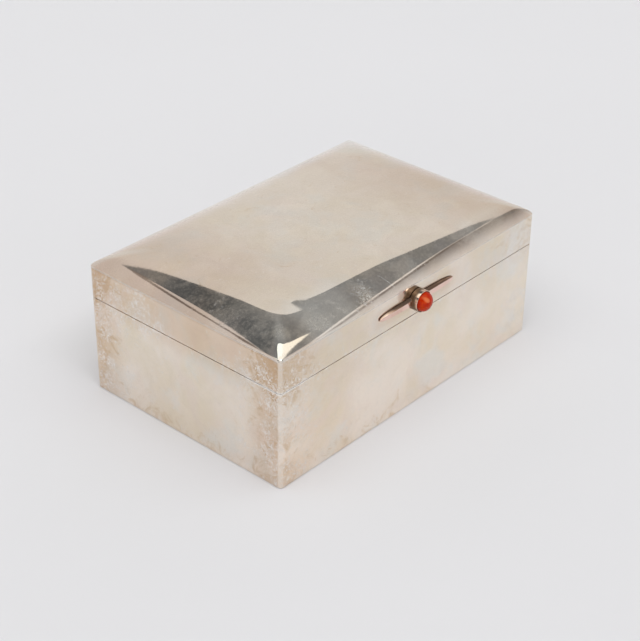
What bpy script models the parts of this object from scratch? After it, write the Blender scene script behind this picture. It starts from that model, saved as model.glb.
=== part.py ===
"""A silver cigar box with a hinged, domed lid, a cedar lining and a thumbpiece that holds a stone.

Lengths are in metres. The box stands on the ground with its middle at the origin, its front faces -Y,
its width runs along X, and +Z is up. The lid turns about the hinge pin behind the back wall.
"""

import math

import bmesh
import bpy
from mathutils import Vector

# Body and lid walls
BOX_WIDTH = 0.2100
BOX_DEPTH = 0.1395
SEAM_HEIGHT = 0.0583
LID_WALL_HEIGHT = 0.0188
WALL = 0.0010
CORNER_RADIUS = 0.0022
FOOT_ROUND_SHARE = 0.8
BASE_THICKNESS = 0.0010

# Clearances
JOINT_GAP = 0.0003
LID_LINING_GAP = 0.0006
CUT_OVERRUN = 0.0020

# Domed plate of the lid
DOME_RISE = 0.0100
DOME_ROLL = 0.01025
DOME_EDGE = 0.0006
DOME_SHEET = 0.0012
DOME_RIDGE = 6.0

# Cedar lining
BOARD = 0.0040
FLOOR_BOARD = 0.0040
PANEL_BOARD = 0.0030
LIP_HEIGHT = 0.0040
BOARD_EASE_SHARE = 0.15

# Hinge
HINGE_LENGTH = 0.1500
KNUCKLE_COUNT = 9
BARREL_RADIUS = 0.0018
PIN_RADIUS = 0.0008
PIN_PLAY = 0.00005
PIN_PROUD = 0.0004
KNUCKLE_EASE_SHARE = 0.2
BEARER_DROP = 0.0045
BEARER_THICKNESS = 0.0013
STOP_REACH = 0.0034
LID_OPENING = math.radians(100.0)
STOP_PLAY = math.radians(1.0)
BEARER_LIP_ANGLE = math.radians(40.0)

# Thumbpiece
THUMB_RAISE_SHARE = 0.5
WING_LENGTH = 0.0305
WING_HEIGHT = 0.0060
WING_DEPTH = 0.0020
WING_UPPER_BEVEL_SHARE = 0.525
WING_LOWER_BEVEL_SHARE = 0.88
WING_NARROWING_SHARE = 0.22
WING_TIP_POWER = 5.0
WING_TIP_SHARE = 0.12
BEZEL_RADIUS = 0.0062
BEZEL_REACH = 0.0049
BEZEL_WALL = 0.00045
BEZEL_FLOOR = 0.0008
SEAT_WALL = 0.0010
STONE_GIRDLE = 0.0014
STONE_DOME = 0.0043

# Fineness of the curves
CORNER_STEPS = 6
FOOT_STEPS = 4
EASE_STEPS = 2
DOME_STEPS = 12
DOME_GRADING = 1.7
HINGE_STEPS = 24
GROOVE_STEPS = 8
STONE_STEPS = 40
STONE_RINGS = 9
WING_STATIONS = 16
WING_GRADING = 1.8
SHARP_ANGLE = math.radians(35.0)
MERGE_DISTANCE = 0.000001

# Places that several pieces share
HALF_WIDTH = BOX_WIDTH / 2
HALF_DEPTH = BOX_DEPTH / 2
RIM_HEIGHT = SEAM_HEIGHT + LID_WALL_HEIGHT
INNER_WIDTH = BOX_WIDTH - 2 * WALL
INNER_DEPTH = BOX_DEPTH - 2 * WALL
INNER_CORNER = max(CORNER_RADIUS - WALL, 0)
LINING_WIDTH = INNER_WIDTH - 2 * JOINT_GAP
LINING_DEPTH = INNER_DEPTH - 2 * JOINT_GAP
LINING_CORNER = max(INNER_CORNER - JOINT_GAP, 0)
FLOOR_TOP = BASE_THICKNESS + JOINT_GAP + FLOOR_BOARD
PANEL_TOP = RIM_HEIGHT - JOINT_GAP
HINGE_OFFSET = BARREL_RADIUS + JOINT_GAP
HINGE_AXIS = Vector((0, HALF_DEPTH + HINGE_OFFSET, SEAM_HEIGHT))
THUMB_BACK = -HALF_DEPTH - JOINT_GAP
THUMB_HEIGHT = SEAM_HEIGHT + THUMB_RAISE_SHARE * LID_WALL_HEIGHT
STONE_RADIUS = BEZEL_RADIUS - BEZEL_WALL - JOINT_GAP
STONE_BASE = BEZEL_REACH - STONE_GIRDLE


def clear_scene():
    """Removes every object that the scene starts with."""
    for old in list(bpy.data.objects):
        bpy.data.objects.remove(old, do_unlink=True)


def material(name, colour, metallic, roughness):
    """A plain Principled finish."""
    made = bpy.data.materials.new(name)
    made.use_nodes = True
    shader = made.node_tree.nodes["Principled BSDF"]
    shader.inputs["Base Color"].default_value = (*colour, 1)
    shader.inputs["Metallic"].default_value = metallic
    shader.inputs["Roughness"].default_value = roughness
    made.diffuse_color = (*colour, 1)
    return made


def anchor(name, place):
    """An empty that carries one moving body: its place is a point on the body's axis."""
    empty = bpy.data.objects.new(name, None)
    empty.location = place
    bpy.context.collection.objects.link(empty)
    return empty


def add_piece(name, shape, finish, carrier, place, turn=(0, 0, 0)):
    """Makes an object of a bmesh shape and hangs it on its carrier. The place is given in the world."""
    mesh = bpy.data.meshes.new(name)
    bmesh.ops.recalc_face_normals(shape, faces=shape.faces)
    shape.to_mesh(mesh)
    shape.free()
    mesh.shade_smooth()
    mesh.set_sharp_from_angle(angle=SHARP_ANGLE)
    if finish:
        mesh.materials.append(finish)
    piece = bpy.data.objects.new(name, mesh)
    piece.parent = carrier
    piece.location = Vector(place) - carrier.location
    piece.rotation_euler = turn
    bpy.context.collection.objects.link(piece)
    return piece


def cut_with(piece, cutter):
    """Cuts one object out of another. The cutter stays as a wire and isn't rendered."""
    cutter.hide_render = True
    cutter.display_type = "WIRE"
    cut = piece.modifiers.new("cut by " + cutter.name, "BOOLEAN")
    cut.operation = "DIFFERENCE"
    cut.object = cutter


def rounded_edges(shape, edges, radius, steps):
    """Rounds some edges of a bmesh shape, unless the radius is nothing."""
    if radius > 0:
        bmesh.ops.bevel(
            shape, geom=edges, offset=radius, segments=steps, profile=0.5, affect="EDGES", clamp_overlap=True
        )


def is_upright(edge):
    """True for an edge that runs up and down."""
    run = edge.verts[1].co - edge.verts[0].co
    return abs(run.z) > run.xy.length


def edges_at_height(shape, height):
    """The edges whose two ends both lie at a height, within the merge distance."""
    return [
        edge for edge in shape.edges if all(abs(end.co.z - height) < MERGE_DISTANCE for end in edge.verts)
    ]


def block(width, depth, height, corner_radius=0):
    """A block about its own middle, with its four upright edges rounded."""
    shape = bmesh.new()
    bmesh.ops.create_cube(shape, size=1)
    bmesh.ops.scale(shape, vec=(width, depth, height), verts=shape.verts)
    rounded_edges(shape, [edge for edge in shape.edges if is_upright(edge)], corner_radius, CORNER_STEPS)
    return shape


def turned(profile, steps, closed):
    """A shape turned about Z from (radius, height) points. An open profile starts and ends on the axis."""
    shape = bmesh.new()
    points = [shape.verts.new((radius, 0, height)) for radius, height in profile]
    pairs = list(zip(points, points[1:]))
    if closed:
        pairs.append((points[-1], points[0]))
    lines = [shape.edges.new(pair) for pair in pairs]
    bmesh.ops.spin(
        shape, geom=points + lines, cent=(0, 0, 0), axis=(0, 0, 1), angle=math.tau, steps=steps, use_merge=True
    )
    bmesh.ops.remove_doubles(shape, verts=shape.verts, dist=MERGE_DISTANCE)
    return shape


def hollow_walls(name, bottom, top, foot_round, finish, carrier):
    """Four walls in one strip between two heights, open above and below, with rounded upright corners."""
    height = top - bottom
    middle = (0, 0, bottom + height / 2)
    shape = block(BOX_WIDTH, BOX_DEPTH, height, CORNER_RADIUS)
    rounded_edges(shape, edges_at_height(shape, -height / 2), foot_round, FOOT_STEPS)
    walls = add_piece(name, shape, finish, carrier, middle)
    core = block(INNER_WIDTH, INNER_DEPTH, height + 2 * CUT_OVERRUN, INNER_CORNER)
    cut_with(walls, add_piece(name + "_core", core, None, carrier, middle))


def flat_board(name, thickness, top, finish, carrier):
    """A board or plate that fills the walls from side to side, less the gap round it."""
    place = (0, 0, top - thickness / 2)
    add_piece(name, block(LINING_WIDTH, LINING_DEPTH, thickness, LINING_CORNER), finish, carrier, place)


def lining_board(name, length, height, outer_side, eased):
    """An upright board along X about its own middle. Its outer upright edges follow the box's corners."""
    shape = block(length, BOARD, height)
    outer = [edge for edge in shape.edges if is_upright(edge) and edge.verts[0].co.y * outer_side > 0]
    if name.endswith(("front", "back")):
        rounded_edges(shape, outer, LINING_CORNER, CORNER_STEPS // 2)
    if eased:
        rounded_edges(shape, edges_at_height(shape, height / 2), BOARD * BOARD_EASE_SHARE, EASE_STEPS)
    return shape


def lining_walls(prefix, bottom, top, eased, finish, carrier):
    """Four upright boards: front and back run the whole width, and the sides stand between them."""
    height = top - bottom
    level = bottom + height / 2
    reach_x = (LINING_WIDTH - BOARD) / 2
    reach_y = (LINING_DEPTH - BOARD) / 2
    side_length = LINING_DEPTH - 2 * BOARD - 2 * JOINT_GAP
    for name, length, place, turn in (
        ("front", LINING_WIDTH, (0, -reach_y, level), 0),
        ("back", LINING_WIDTH, (0, reach_y, level), 0),
        ("left", side_length, (-reach_x, 0, level), math.pi / 2),
        ("right", side_length, (reach_x, 0, level), math.pi / 2),
    ):
        outer_side = -1 if name == "front" else 1
        shape = lining_board(name, length, height, outer_side, eased)
        add_piece(prefix + name, shape, finish, carrier, place, (0, 0, turn))


def dome_insets(half_size):
    """Distances from the edge for the dome's grid: even over the corner's arc, then wider and wider."""
    arc_steps = CORNER_STEPS // 2
    arc = [CORNER_RADIUS * step / arc_steps for step in range(arc_steps)]
    rest = half_size - CORNER_RADIUS
    return arc + [CORNER_RADIUS + rest * (step / DOME_STEPS) ** DOME_GRADING for step in range(DOME_STEPS + 1)]


def dome_lines(half_size):
    """Where the grid's lines cross one axis, from the low edge to the high edge."""
    low = [inset - half_size for inset in dome_insets(half_size)]
    return low + [-place for place in reversed(low[:-1])]


def round_corner(x, y):
    """Draws a point of the square-cornered grid in to the rounded corner, square rings onto round ones."""
    past_x = abs(x) - (HALF_WIDTH - CORNER_RADIUS)
    past_y = abs(y) - (HALF_DEPTH - CORNER_RADIUS)
    if past_x <= 0 or past_y <= 0:
        return x, y
    reach = max(past_x, past_y)
    angle = math.pi / 4 * min(past_x, past_y) / reach
    if past_y > past_x:
        angle = math.pi / 2 - angle
    round_x = HALF_WIDTH - CORNER_RADIUS + reach * math.cos(angle)
    round_y = HALF_DEPTH - CORNER_RADIUS + reach * math.sin(angle)
    return math.copysign(round_x, x), math.copysign(round_y, y)


def crown(x, y):
    """Height over the dome's edge: steep at the edge and dying away inwards as an exponential.

    The distances to the four edges blend softly, so the two sides meet in a ridge that is tight at the
    corner and fades inwards. The roll is the distance over which the slope falls to about a third.
    """
    insets = [HALF_WIDTH + x, HALF_WIDTH - x, HALF_DEPTH + y, HALF_DEPTH - y]
    if min(insets) < MERGE_DISTANCE:
        return 0
    blended = sum((inset / DOME_ROLL) ** -DOME_RIDGE for inset in insets) ** (-1 / DOME_RIDGE)
    return DOME_RISE * (1 - math.exp(-blended))


def lid_dome(finish, carrier):
    """The raised plate: a graded grid lifted to the crown, and under it the same grid a sheet lower."""
    lines_x = dome_lines(HALF_WIDTH)
    lines_y = dome_lines(HALF_DEPTH)
    cells_x = len(lines_x) - 1
    cells_y = len(lines_y) - 1
    shape = bmesh.new()
    bmesh.ops.create_grid(shape, x_segments=cells_x, y_segments=cells_y, size=1)
    lower = list(shape.verts)
    lifted = bmesh.ops.extrude_face_region(shape, geom=shape.faces[:], use_keep_orig=True)
    upper = [item for item in lifted["geom"] if isinstance(item, bmesh.types.BMVert)]
    for points, drop in ((upper, 0), (lower, DOME_SHEET)):
        for point in points:
            x = lines_x[round((point.co.x + 1) / 2 * cells_x)]
            y = lines_y[round((point.co.y + 1) / 2 * cells_y)]
            height = max(DOME_EDGE + crown(x, y) - drop, 0)
            point.co = (*round_corner(x, y), height)
    add_piece("lid_dome", shape, finish, carrier, (0, 0, RIM_HEIGHT))


def bearer_section(side):
    """The bearer's outline about the hinge axis as (y, z). Its bevel is the plane that stops the lid."""
    groove = BARREL_RADIUS + JOINT_GAP
    inner = JOINT_GAP - HINGE_OFFSET
    bevel = (LID_OPENING + STOP_PLAY) / 2
    sweep = math.pi - BEARER_LIP_ANGLE - bevel
    outline = [(inner, -BEARER_DROP), (inner, -groove * math.sin(BEARER_LIP_ANGLE))]
    for step in range(GROOVE_STEPS + 1):
        angle = math.pi + BEARER_LIP_ANGLE + sweep * step / GROOVE_STEPS
        outline.append((groove * math.cos(angle), groove * math.sin(angle)))
    outline.append((STOP_REACH * math.cos(bevel), -STOP_REACH * math.sin(bevel)))
    outline.append((inner + BEARER_THICKNESS, -BEARER_DROP))
    return [(y, -z * side) for y, z in outline]


def hinge_bearer(name, side, finish, carrier):
    """A strip along the back wall, grooved for the knuckles: side is 1 on the lid and -1 on the body."""
    shape = bmesh.new()
    start = [shape.verts.new((-HINGE_LENGTH / 2, y, z)) for y, z in bearer_section(side)]
    face = shape.faces.new(start)
    pulled = bmesh.ops.extrude_face_region(shape, geom=[face], use_keep_orig=True)
    far_end = [item for item in pulled["geom"] if isinstance(item, bmesh.types.BMVert)]
    bmesh.ops.translate(shape, vec=(HINGE_LENGTH, 0, 0), verts=far_end)
    add_piece(name, shape, finish, carrier, HINGE_AXIS)


def knuckle_shape(length):
    """A short tube about its own middle, with its outer ends eased."""
    bore = PIN_RADIUS + PIN_PLAY
    ease = (BARREL_RADIUS - bore) * KNUCKLE_EASE_SHARE
    half = length / 2
    profile = [
        (bore, half),
        (BARREL_RADIUS - ease, half),
        (BARREL_RADIUS, half - ease),
        (BARREL_RADIUS, ease - half),
        (BARREL_RADIUS - ease, -half),
        (bore, -half),
    ]
    return turned(profile, HINGE_STEPS, closed=True)


def hinge_pin(finish, carrier):
    """The wire through all the knuckles, with its two ends slightly rounded over."""
    half = HINGE_LENGTH / 2
    over = PIN_RADIUS * KNUCKLE_EASE_SHARE
    profile = [
        (0, half + PIN_PROUD),
        (PIN_RADIUS - over, half + PIN_PROUD),
        (PIN_RADIUS, half + PIN_PROUD - over),
        (PIN_RADIUS, over - half - PIN_PROUD),
        (PIN_RADIUS - over, -half - PIN_PROUD),
        (0, -half - PIN_PROUD),
    ]
    shape = turned(profile, HINGE_STEPS, closed=False)
    add_piece("hinge_pin", shape, finish, carrier, HINGE_AXIS, (0, math.pi / 2, 0))


def hinge(finish, body, lid):
    """The bearers, the pin, and the knuckles, which belong to the body and the lid by turns."""
    hinge_bearer("body_hinge_bearer", -1, finish, body)
    hinge_bearer("lid_hinge_bearer", 1, finish, lid)
    hinge_pin(finish, body)
    length = (HINGE_LENGTH - (KNUCKLE_COUNT - 1) * JOINT_GAP) / KNUCKLE_COUNT
    for index in range(KNUCKLE_COUNT):
        owner, carrier = (("body", body), ("lid", lid))[index % 2]
        along = (length - HINGE_LENGTH) / 2 + index * (length + JOINT_GAP)
        place = HINGE_AXIS + Vector((along, 0, 0))
        name = f"{owner}_knuckle_{index // 2 + 1}"
        add_piece(name, knuckle_shape(length), finish, carrier, place, (0, math.pi / 2, 0))


def wing_section(shape, along, share):
    """One ring of a wing, at a share of the way from the bezel to the point.

    It is flat against the wall, with an upright front, a low bevel over it and a steeper one under it.
    """
    narrowing = (1 - WING_NARROWING_SHARE * share) * math.sqrt(1 - share**WING_TIP_POWER)
    taper = WING_TIP_SHARE + (1 - WING_TIP_SHARE) * narrowing
    depth = WING_DEPTH * taper
    half_back = WING_HEIGHT / 2 * taper
    upper_front = half_back - WING_UPPER_BEVEL_SHARE * depth
    lower_front = WING_LOWER_BEVEL_SHARE * depth - half_back
    corners = ((0, -half_back), (-depth, lower_front), (-depth, upper_front), (0, half_back))
    return [shape.verts.new((along, out, up)) for out, up in corners]


def thumb_wing(name, side, finish, carrier):
    """A wing from the middle of the thumbpiece out to its point, coped round the bezel cup."""
    shape = bmesh.new()
    shares = [1 - (1 - step / WING_STATIONS) ** WING_GRADING for step in range(WING_STATIONS + 1)]
    free_length = WING_LENGTH - BEZEL_RADIUS
    rings = [wing_section(shape, 0, 0)]
    rings += [wing_section(shape, side * (BEZEL_RADIUS + free_length * share), share) for share in shares]
    for ring, following in zip(rings, rings[1:]):
        for index in range(len(ring)):
            after = (index + 1) % len(ring)
            shape.faces.new((ring[index], ring[after], following[after], following[index]))
    shape.faces.new(rings[0])
    shape.faces.new(rings[-1])
    place = (0, THUMB_BACK, THUMB_HEIGHT)
    wing = add_piece(name, shape, finish, carrier, place)
    cutter_radius = BEZEL_RADIUS + JOINT_GAP
    cutter_reach = WING_DEPTH + CUT_OVERRUN
    profile = [(0, cutter_reach), (cutter_radius, cutter_reach), (cutter_radius, -CUT_OVERRUN), (0, -CUT_OVERRUN)]
    cutter = turned(profile, STONE_STEPS, closed=False)
    cut_with(wing, add_piece(name + "_cope", cutter, None, carrier, place, (math.pi / 2, 0, 0)))


def bezel_profile():
    """The cup that holds the stone, as (radius, distance from the wall): a floor and a thin upright wall."""
    inside = BEZEL_RADIUS - BEZEL_WALL
    return [
        (0, BEZEL_FLOOR),
        (inside, BEZEL_FLOOR),
        (inside, BEZEL_REACH),
        (BEZEL_RADIUS, BEZEL_REACH),
        (BEZEL_RADIUS, 0),
        (0, 0),
    ]


def seat_profile():
    """The ring inside the cup that the stone rests on."""
    low = BEZEL_FLOOR + JOINT_GAP
    high = STONE_BASE - JOINT_GAP
    return [(STONE_RADIUS, high), (STONE_RADIUS, low), (STONE_RADIUS - SEAT_WALL, low), (STONE_RADIUS - SEAT_WALL, high)]


def stone_profile():
    """A flat-backed stone: a short upright girdle and a quarter ellipse up to the crown."""
    outline = [(0, STONE_BASE), (STONE_RADIUS, STONE_BASE)]
    for step in range(STONE_RINGS):
        angle = math.pi / 2 * step / STONE_RINGS
        outline.append((STONE_RADIUS * math.cos(angle), BEZEL_REACH + STONE_DOME * math.sin(angle)))
    outline.append((0, BEZEL_REACH + STONE_DOME))
    return outline


def thumbpiece(wing_finish, cup_finish, stone_finish, carrier):
    """Two wings with the bezel cup between them, and the seat and the stone in the cup."""
    thumb_wing("thumb_wing_left", -1, wing_finish, carrier)
    thumb_wing("thumb_wing_right", 1, wing_finish, carrier)
    for name, profile, closed, finish in (
        ("bezel_cup", bezel_profile(), False, cup_finish),
        ("stone_seat", seat_profile(), True, cup_finish),
        ("cabochon", stone_profile(), False, stone_finish),
    ):
        shape = turned(profile, STONE_STEPS, closed)
        add_piece(name, shape, finish, carrier, (0, THUMB_BACK, THUMB_HEIGHT), (math.pi / 2, 0, 0))


def build():
    """Puts the whole box together, with the lid closed."""
    clear_scene()
    silver = material("tarnished silver", (0.74, 0.68, 0.60), 1, 0.28)
    polished = material("polished silver", (0.76, 0.71, 0.63), 1, 0.10)
    rose_gold = material("rose gold", (0.80, 0.52, 0.40), 1, 0.20)
    pale_gold = material("pale gold", (0.86, 0.70, 0.48), 1, 0.18)
    carnelian = material("carnelian", (0.55, 0.05, 0.01), 0, 0.12)
    cedar = material("cedar", (0.45, 0.22, 0.11), 0, 0.60)
    body = anchor("box_body", (0, 0, 0))
    lid = anchor("lid_hinge_axis", HINGE_AXIS)

    hollow_walls("body_casing", 0, SEAM_HEIGHT - JOINT_GAP / 2, WALL * FOOT_ROUND_SHARE, silver, body)
    flat_board("base_plate", BASE_THICKNESS, BASE_THICKNESS, silver, body)
    flat_board("lining_floor", FLOOR_BOARD, FLOOR_TOP, cedar, body)
    lining_walls("lining_", FLOOR_TOP + JOINT_GAP, SEAM_HEIGHT + LIP_HEIGHT, True, cedar, body)

    hollow_walls("lid_casing", SEAM_HEIGHT + JOINT_GAP / 2, RIM_HEIGHT - JOINT_GAP, 0, silver, lid)
    lid_dome(polished, lid)
    flat_board("lid_lining_panel", PANEL_BOARD, PANEL_TOP, cedar, lid)
    lid_lining_low = SEAM_HEIGHT + LIP_HEIGHT + LID_LINING_GAP
    lining_walls("lid_lining_", lid_lining_low, PANEL_TOP - PANEL_BOARD - JOINT_GAP, False, cedar, lid)

    hinge(silver, body, lid)
    thumbpiece(rose_gold, pale_gold, carnelian, lid)


build()
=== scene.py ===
"""Looks of a silver cigar box: a hinged, domed lid, a cedar lining and a thumbpiece that holds a stone.

Lengths are in metres. The front faces -Y, the lid's hinge runs along the back, and +Z is up.
"""

import math

import bpy
import numpy as np
from mathutils import Matrix, Vector


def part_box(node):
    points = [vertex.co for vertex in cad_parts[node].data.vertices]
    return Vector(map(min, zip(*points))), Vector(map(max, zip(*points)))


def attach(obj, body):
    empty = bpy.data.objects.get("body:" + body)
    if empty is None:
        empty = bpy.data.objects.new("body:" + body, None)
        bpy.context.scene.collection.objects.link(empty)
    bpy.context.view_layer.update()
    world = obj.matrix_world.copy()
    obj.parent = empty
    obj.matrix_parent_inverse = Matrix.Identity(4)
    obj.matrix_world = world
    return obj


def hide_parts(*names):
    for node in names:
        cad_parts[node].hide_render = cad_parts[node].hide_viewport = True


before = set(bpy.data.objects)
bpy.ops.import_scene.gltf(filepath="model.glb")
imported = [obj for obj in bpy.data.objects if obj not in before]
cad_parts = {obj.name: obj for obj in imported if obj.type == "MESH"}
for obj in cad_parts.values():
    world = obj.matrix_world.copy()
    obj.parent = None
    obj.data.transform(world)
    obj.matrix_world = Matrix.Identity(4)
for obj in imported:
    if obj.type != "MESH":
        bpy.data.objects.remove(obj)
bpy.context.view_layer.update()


# Camera: it stands in front of the box's left corner, a little under a metre away, and looks down on it.
# Its place comes from the corners of the box in the photograph.
CAMERA_AZIMUTH = math.radians(-48.39)
CAMERA_ELEVATION = math.radians(31.78)
CAMERA_ROLL = math.radians(0.62)
CAMERA_PLACE = Vector((-0.579855, -0.516883, 0.505724))
PHOTO_HEIGHT = 641
FOCAL_PIXELS = 1612.73
SENSOR_MM = 36.0
NEAR_CLIP = 0.01

backwards = Vector(
    (
        math.sin(CAMERA_AZIMUTH) * math.cos(CAMERA_ELEVATION),
        -math.cos(CAMERA_AZIMUTH) * math.cos(CAMERA_ELEVATION),
        math.sin(CAMERA_ELEVATION),
    )
)
level_right = Vector((math.cos(CAMERA_AZIMUTH), math.sin(CAMERA_AZIMUTH), 0))
level_up = backwards.cross(level_right)
rolled_right = math.cos(CAMERA_ROLL) * level_right + math.sin(CAMERA_ROLL) * level_up
rolled_up = backwards.cross(rolled_right)
lens = bpy.data.cameras.new("camera")
lens.sensor_fit = "VERTICAL"
lens.sensor_height = SENSOR_MM
lens.lens = FOCAL_PIXELS * lens.sensor_height / PHOTO_HEIGHT
lens.clip_start = NEAR_CLIP
camera = bpy.data.objects.new("camera", lens)
turn = Matrix((rolled_right, rolled_up, backwards)).transposed().to_4x4()
camera.matrix_world = Matrix.Translation(CAMERA_PLACE) @ turn
bpy.context.scene.collection.objects.link(camera)
bpy.context.scene.camera = camera


# Studio: pale walls up to half way, and a dark flat ceiling with a lamp in it. The silver mirrors their
# edges, so each edge is a line through measured places. One wide soft light fills in from the front. A value
# named SPAN goes into rise and one named STRIPE into band, both below.
WALL_LIGHT = (0.72, 0.705, 0.69)
WALL_SHADE = (0.65, 0.62, 0.61)
WALL_SPAN = (-0.1, 0.35)
FRONT_DUSK = (0.25, 0.232, 0.224)
FRONT_PALE = (0.66, 0.64, 0.645)
DUSK_SPAN = (-0.12, -0.90)
DUSK_BACK_SPAN = (-0.09, -0.15)
DUSK_LEFT_SPAN = (0.86, 0.92)
DUSK_RIGHT_SPAN = (2.3, 1.8)
HORIZON = (0.775, 0.768, 0.791)
HORIZON_SPAN = (0.0, 0.3)
LEAST_HEIGHT = 0.02
CEILING_NEAR = (0.106, 0.117, 0.128)
CEILING_FAR = (0.222, 0.228, 0.237)
CEILING_SPAN = (0.38, 0.92)
CEILING_REACH = 2.3
SOFT_EDGE = 0.004
FAR_EDGE = ((-1.0, 0.95), (-0.817, 0.918), (-0.696, 0.882), (-0.562, 0.848), (-0.433, 0.822), (-0.33, 0.816),
            (-0.25, 0.822), (-0.19, 0.84), (-0.15, 0.858), (-0.115, 0.888), (-0.026, 0.880), (0.06, 0.873),
            (0.18, 0.875), (0.35, 0.885), (0.56, 0.896), (1.0, 0.90))
RIGHT_EDGE = ((-1.0, 1.06), (-0.84, 1.035), (-0.69, 0.995), (-0.58, 0.969), (-0.50, 0.957), (-0.43, 0.951),
              (-0.35, 0.951), (-0.256, 0.954), (-0.212, 0.958), (-0.165, 0.968), (-0.125, 0.99),
              (-0.095, 1.035), (-0.05, 1.056), (0.02, 1.047), (0.158, 1.036), (0.30, 1.025), (0.42, 1.025),
              (0.51, 1.030), (0.55, 1.024), (0.58, 1.008), (0.605, 0.988), (0.64, 0.983), (0.76, 1.01),
              (1.0, 1.05))
NOTCH_EDGE = ((-1.0, 1.2), (0.36, 1.15), (0.40, 0.96), (0.43, 0.935), (0.463, 0.899), (0.50, 0.897),
              (0.54, 0.895), (0.60, 0.880), (0.669, 0.859), (0.74, 0.82), (0.801, 0.773), (0.857, 0.70),
              (0.91, 0.61), (1.0, 0.45))
ARM_START = (0.413, 0.874)
ARM_LEAN = 0.333
ARM_NEAR = 0.34
ARM_FAR = 0.785
SPUR_START = (-0.095, 1.06)
SPUR_LEAN = 2.6
SPUR_STRIPE = (0.0, 0.02, 0.012)
SPUR_REACH_STRIPE = (1.085, 0.045, 0.01)
SPUR_SHARE = 0.8
FAR_RAIL = ((-1.0, 0.975), (-0.72, 0.905), (-0.646, 0.884), (-0.6, 0.880), (-0.545, 0.8765), (-0.486, 0.874),
            (-0.36, 0.869), (-0.29, 0.867), (-0.2, 0.872), (-0.14, 0.872), (0.0, 0.86))
RAIL_LIGHT = (0.84, 0.81, 0.80)
RAIL_PALE = (0.66, 0.62, 0.61)
RAIL_DARK = (0.115, 0.085, 0.07)
RAIL_FRONT_SPAN = (-0.05, -0.25)
RAIL_LEFT_SPAN = (-0.06, -0.14)
LIGHT_FRONT_STRIPE = (0.014, 0.009, 0.004)
DARK_FRONT_STRIPE = (0.041, 0.012, 0.014)
DARK_FRONT_SHARE = 0.72
PALE_LEFT_SPAN = (-0.007, -0.013)
DARK_LEFT_STRIPE = (0.0, 0.012, 0.004)
DARK_LEFT_SHARE = 0.85
LAMP_SIDE = ((-1.0, 1.08), (-0.904, 1.036), (-0.816, 0.997), (-0.694, 0.946), (-0.579, 0.905),
             (-0.483, 0.880), (-0.404, 0.866), (-0.367, 0.858), (-0.306, 0.832), (-0.28, 0.815), (0.0, 0.735),
             (1.0, 0.405))
LAMP_ENDS = ((0.928, 0.509), (0.517, 0.487))
LAMP_REACH = 0.95
LAMP_EDGE = (1.17, 1.15, 1.06)
LAMP_WHITE = (1.27, 1.38, 1.30)
LAMP_WHITE_STRIPE = (0.40, 0.40, 0.10)
LAMP_WHITE_SPAN = (-0.04, -0.20)
LAMP_HEART = (3.6, 3.6, 3.6)
HEART_PLACE = (-0.1, -0.85)
HEART_SPAN = (0.5, 0.25)
SKY_STRENGTH = 0.85
SKY_SPREAD = math.radians(80)
SKY_FROM = (-0.6, -0.45, 1.0)


def feed(tree, socket, value):
    """Sets an input socket to a plain value, or links another node's output to it."""
    if isinstance(value, bpy.types.NodeSocket):
        tree.links.new(value, socket)
    elif socket.type == "RGBA" and len(value) == 3:
        socket.default_value = (*value, 1)
    else:
        socket.default_value = value


def fill(tree, node, **values):
    """Feeds a node's inputs by name, with an underscore for each space."""
    for name, value in values.items():
        feed(tree, node.inputs[name.replace("_", " ")], value)


def calc(tree, operation, *values):
    """One step of arithmetic on numbers or sockets, by Blender's name for it."""
    node = tree.nodes.new("ShaderNodeMath")
    node.operation = operation
    for socket, value in zip(node.inputs, values):
        feed(tree, socket, value)
    return node.outputs[0]


def times(tree, found, *values):
    """Some numbers multiplied together."""
    for value in values:
        found = calc(tree, "MULTIPLY", found, value)
    return found


def mul_add(tree, value, share, base):
    """A number times a share, plus a base."""
    return calc(tree, "MULTIPLY_ADD", value, share, base)


def greatest(tree, found, *values):
    """The greatest of some numbers."""
    for value in values:
        found = calc(tree, "MAXIMUM", found, value)
    return found


def unsigned(tree, value):
    """A number without its sign."""
    return calc(tree, "ABSOLUTE", value)


def less(tree, value, taken):
    """The first less the second."""
    return calc(tree, "SUBTRACT", value, taken)


def rise(tree, value, low, high, start=0.0, end=1.0):
    """A smooth step: start below low, end above high, and an S-curve from one to the other between them."""
    node = tree.nodes.new("ShaderNodeMapRange")
    node.interpolation_type = "SMOOTHSTEP"
    fill(tree, node, Value=value, From_Min=low, From_Max=high, To_Min=start, To_Max=end)
    return node.outputs["Result"]


def band(tree, value, middle, half, soft):
    """One within a band about a middle, and nothing outside it."""
    return rise(tree, unsigned(tree, less(tree, value, middle)), half + soft, half - soft)


def blend(tree, share, below, above, how="MIX"):
    """Mixes two colours: the first where the share is 0, and the second where it is 1."""
    node = tree.nodes.new("ShaderNodeMix")
    node.data_type = "RGBA"
    node.blend_type = how
    for socket, value in ((node.inputs[0], share), (node.inputs[6], below), (node.inputs[7], above)):
        feed(tree, socket, value)
    return node.outputs[2]


def noise(tree, place, scale, detail=3.0, roughness=0.5, distortion=0.0):
    """Cloudy noise about one half."""
    node = tree.nodes.new("ShaderNodeTexNoise")
    fill(tree, node, Vector=place, Scale=scale, Detail=detail, Roughness=roughness, Distortion=distortion)
    return node.outputs["Fac"]


def split(tree, vector):
    """The three parts of a vector."""
    node = tree.nodes.new("ShaderNodeSeparateXYZ")
    feed(tree, node.inputs[0], vector)
    return node.outputs[0], node.outputs[1], node.outputs[2]


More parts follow.
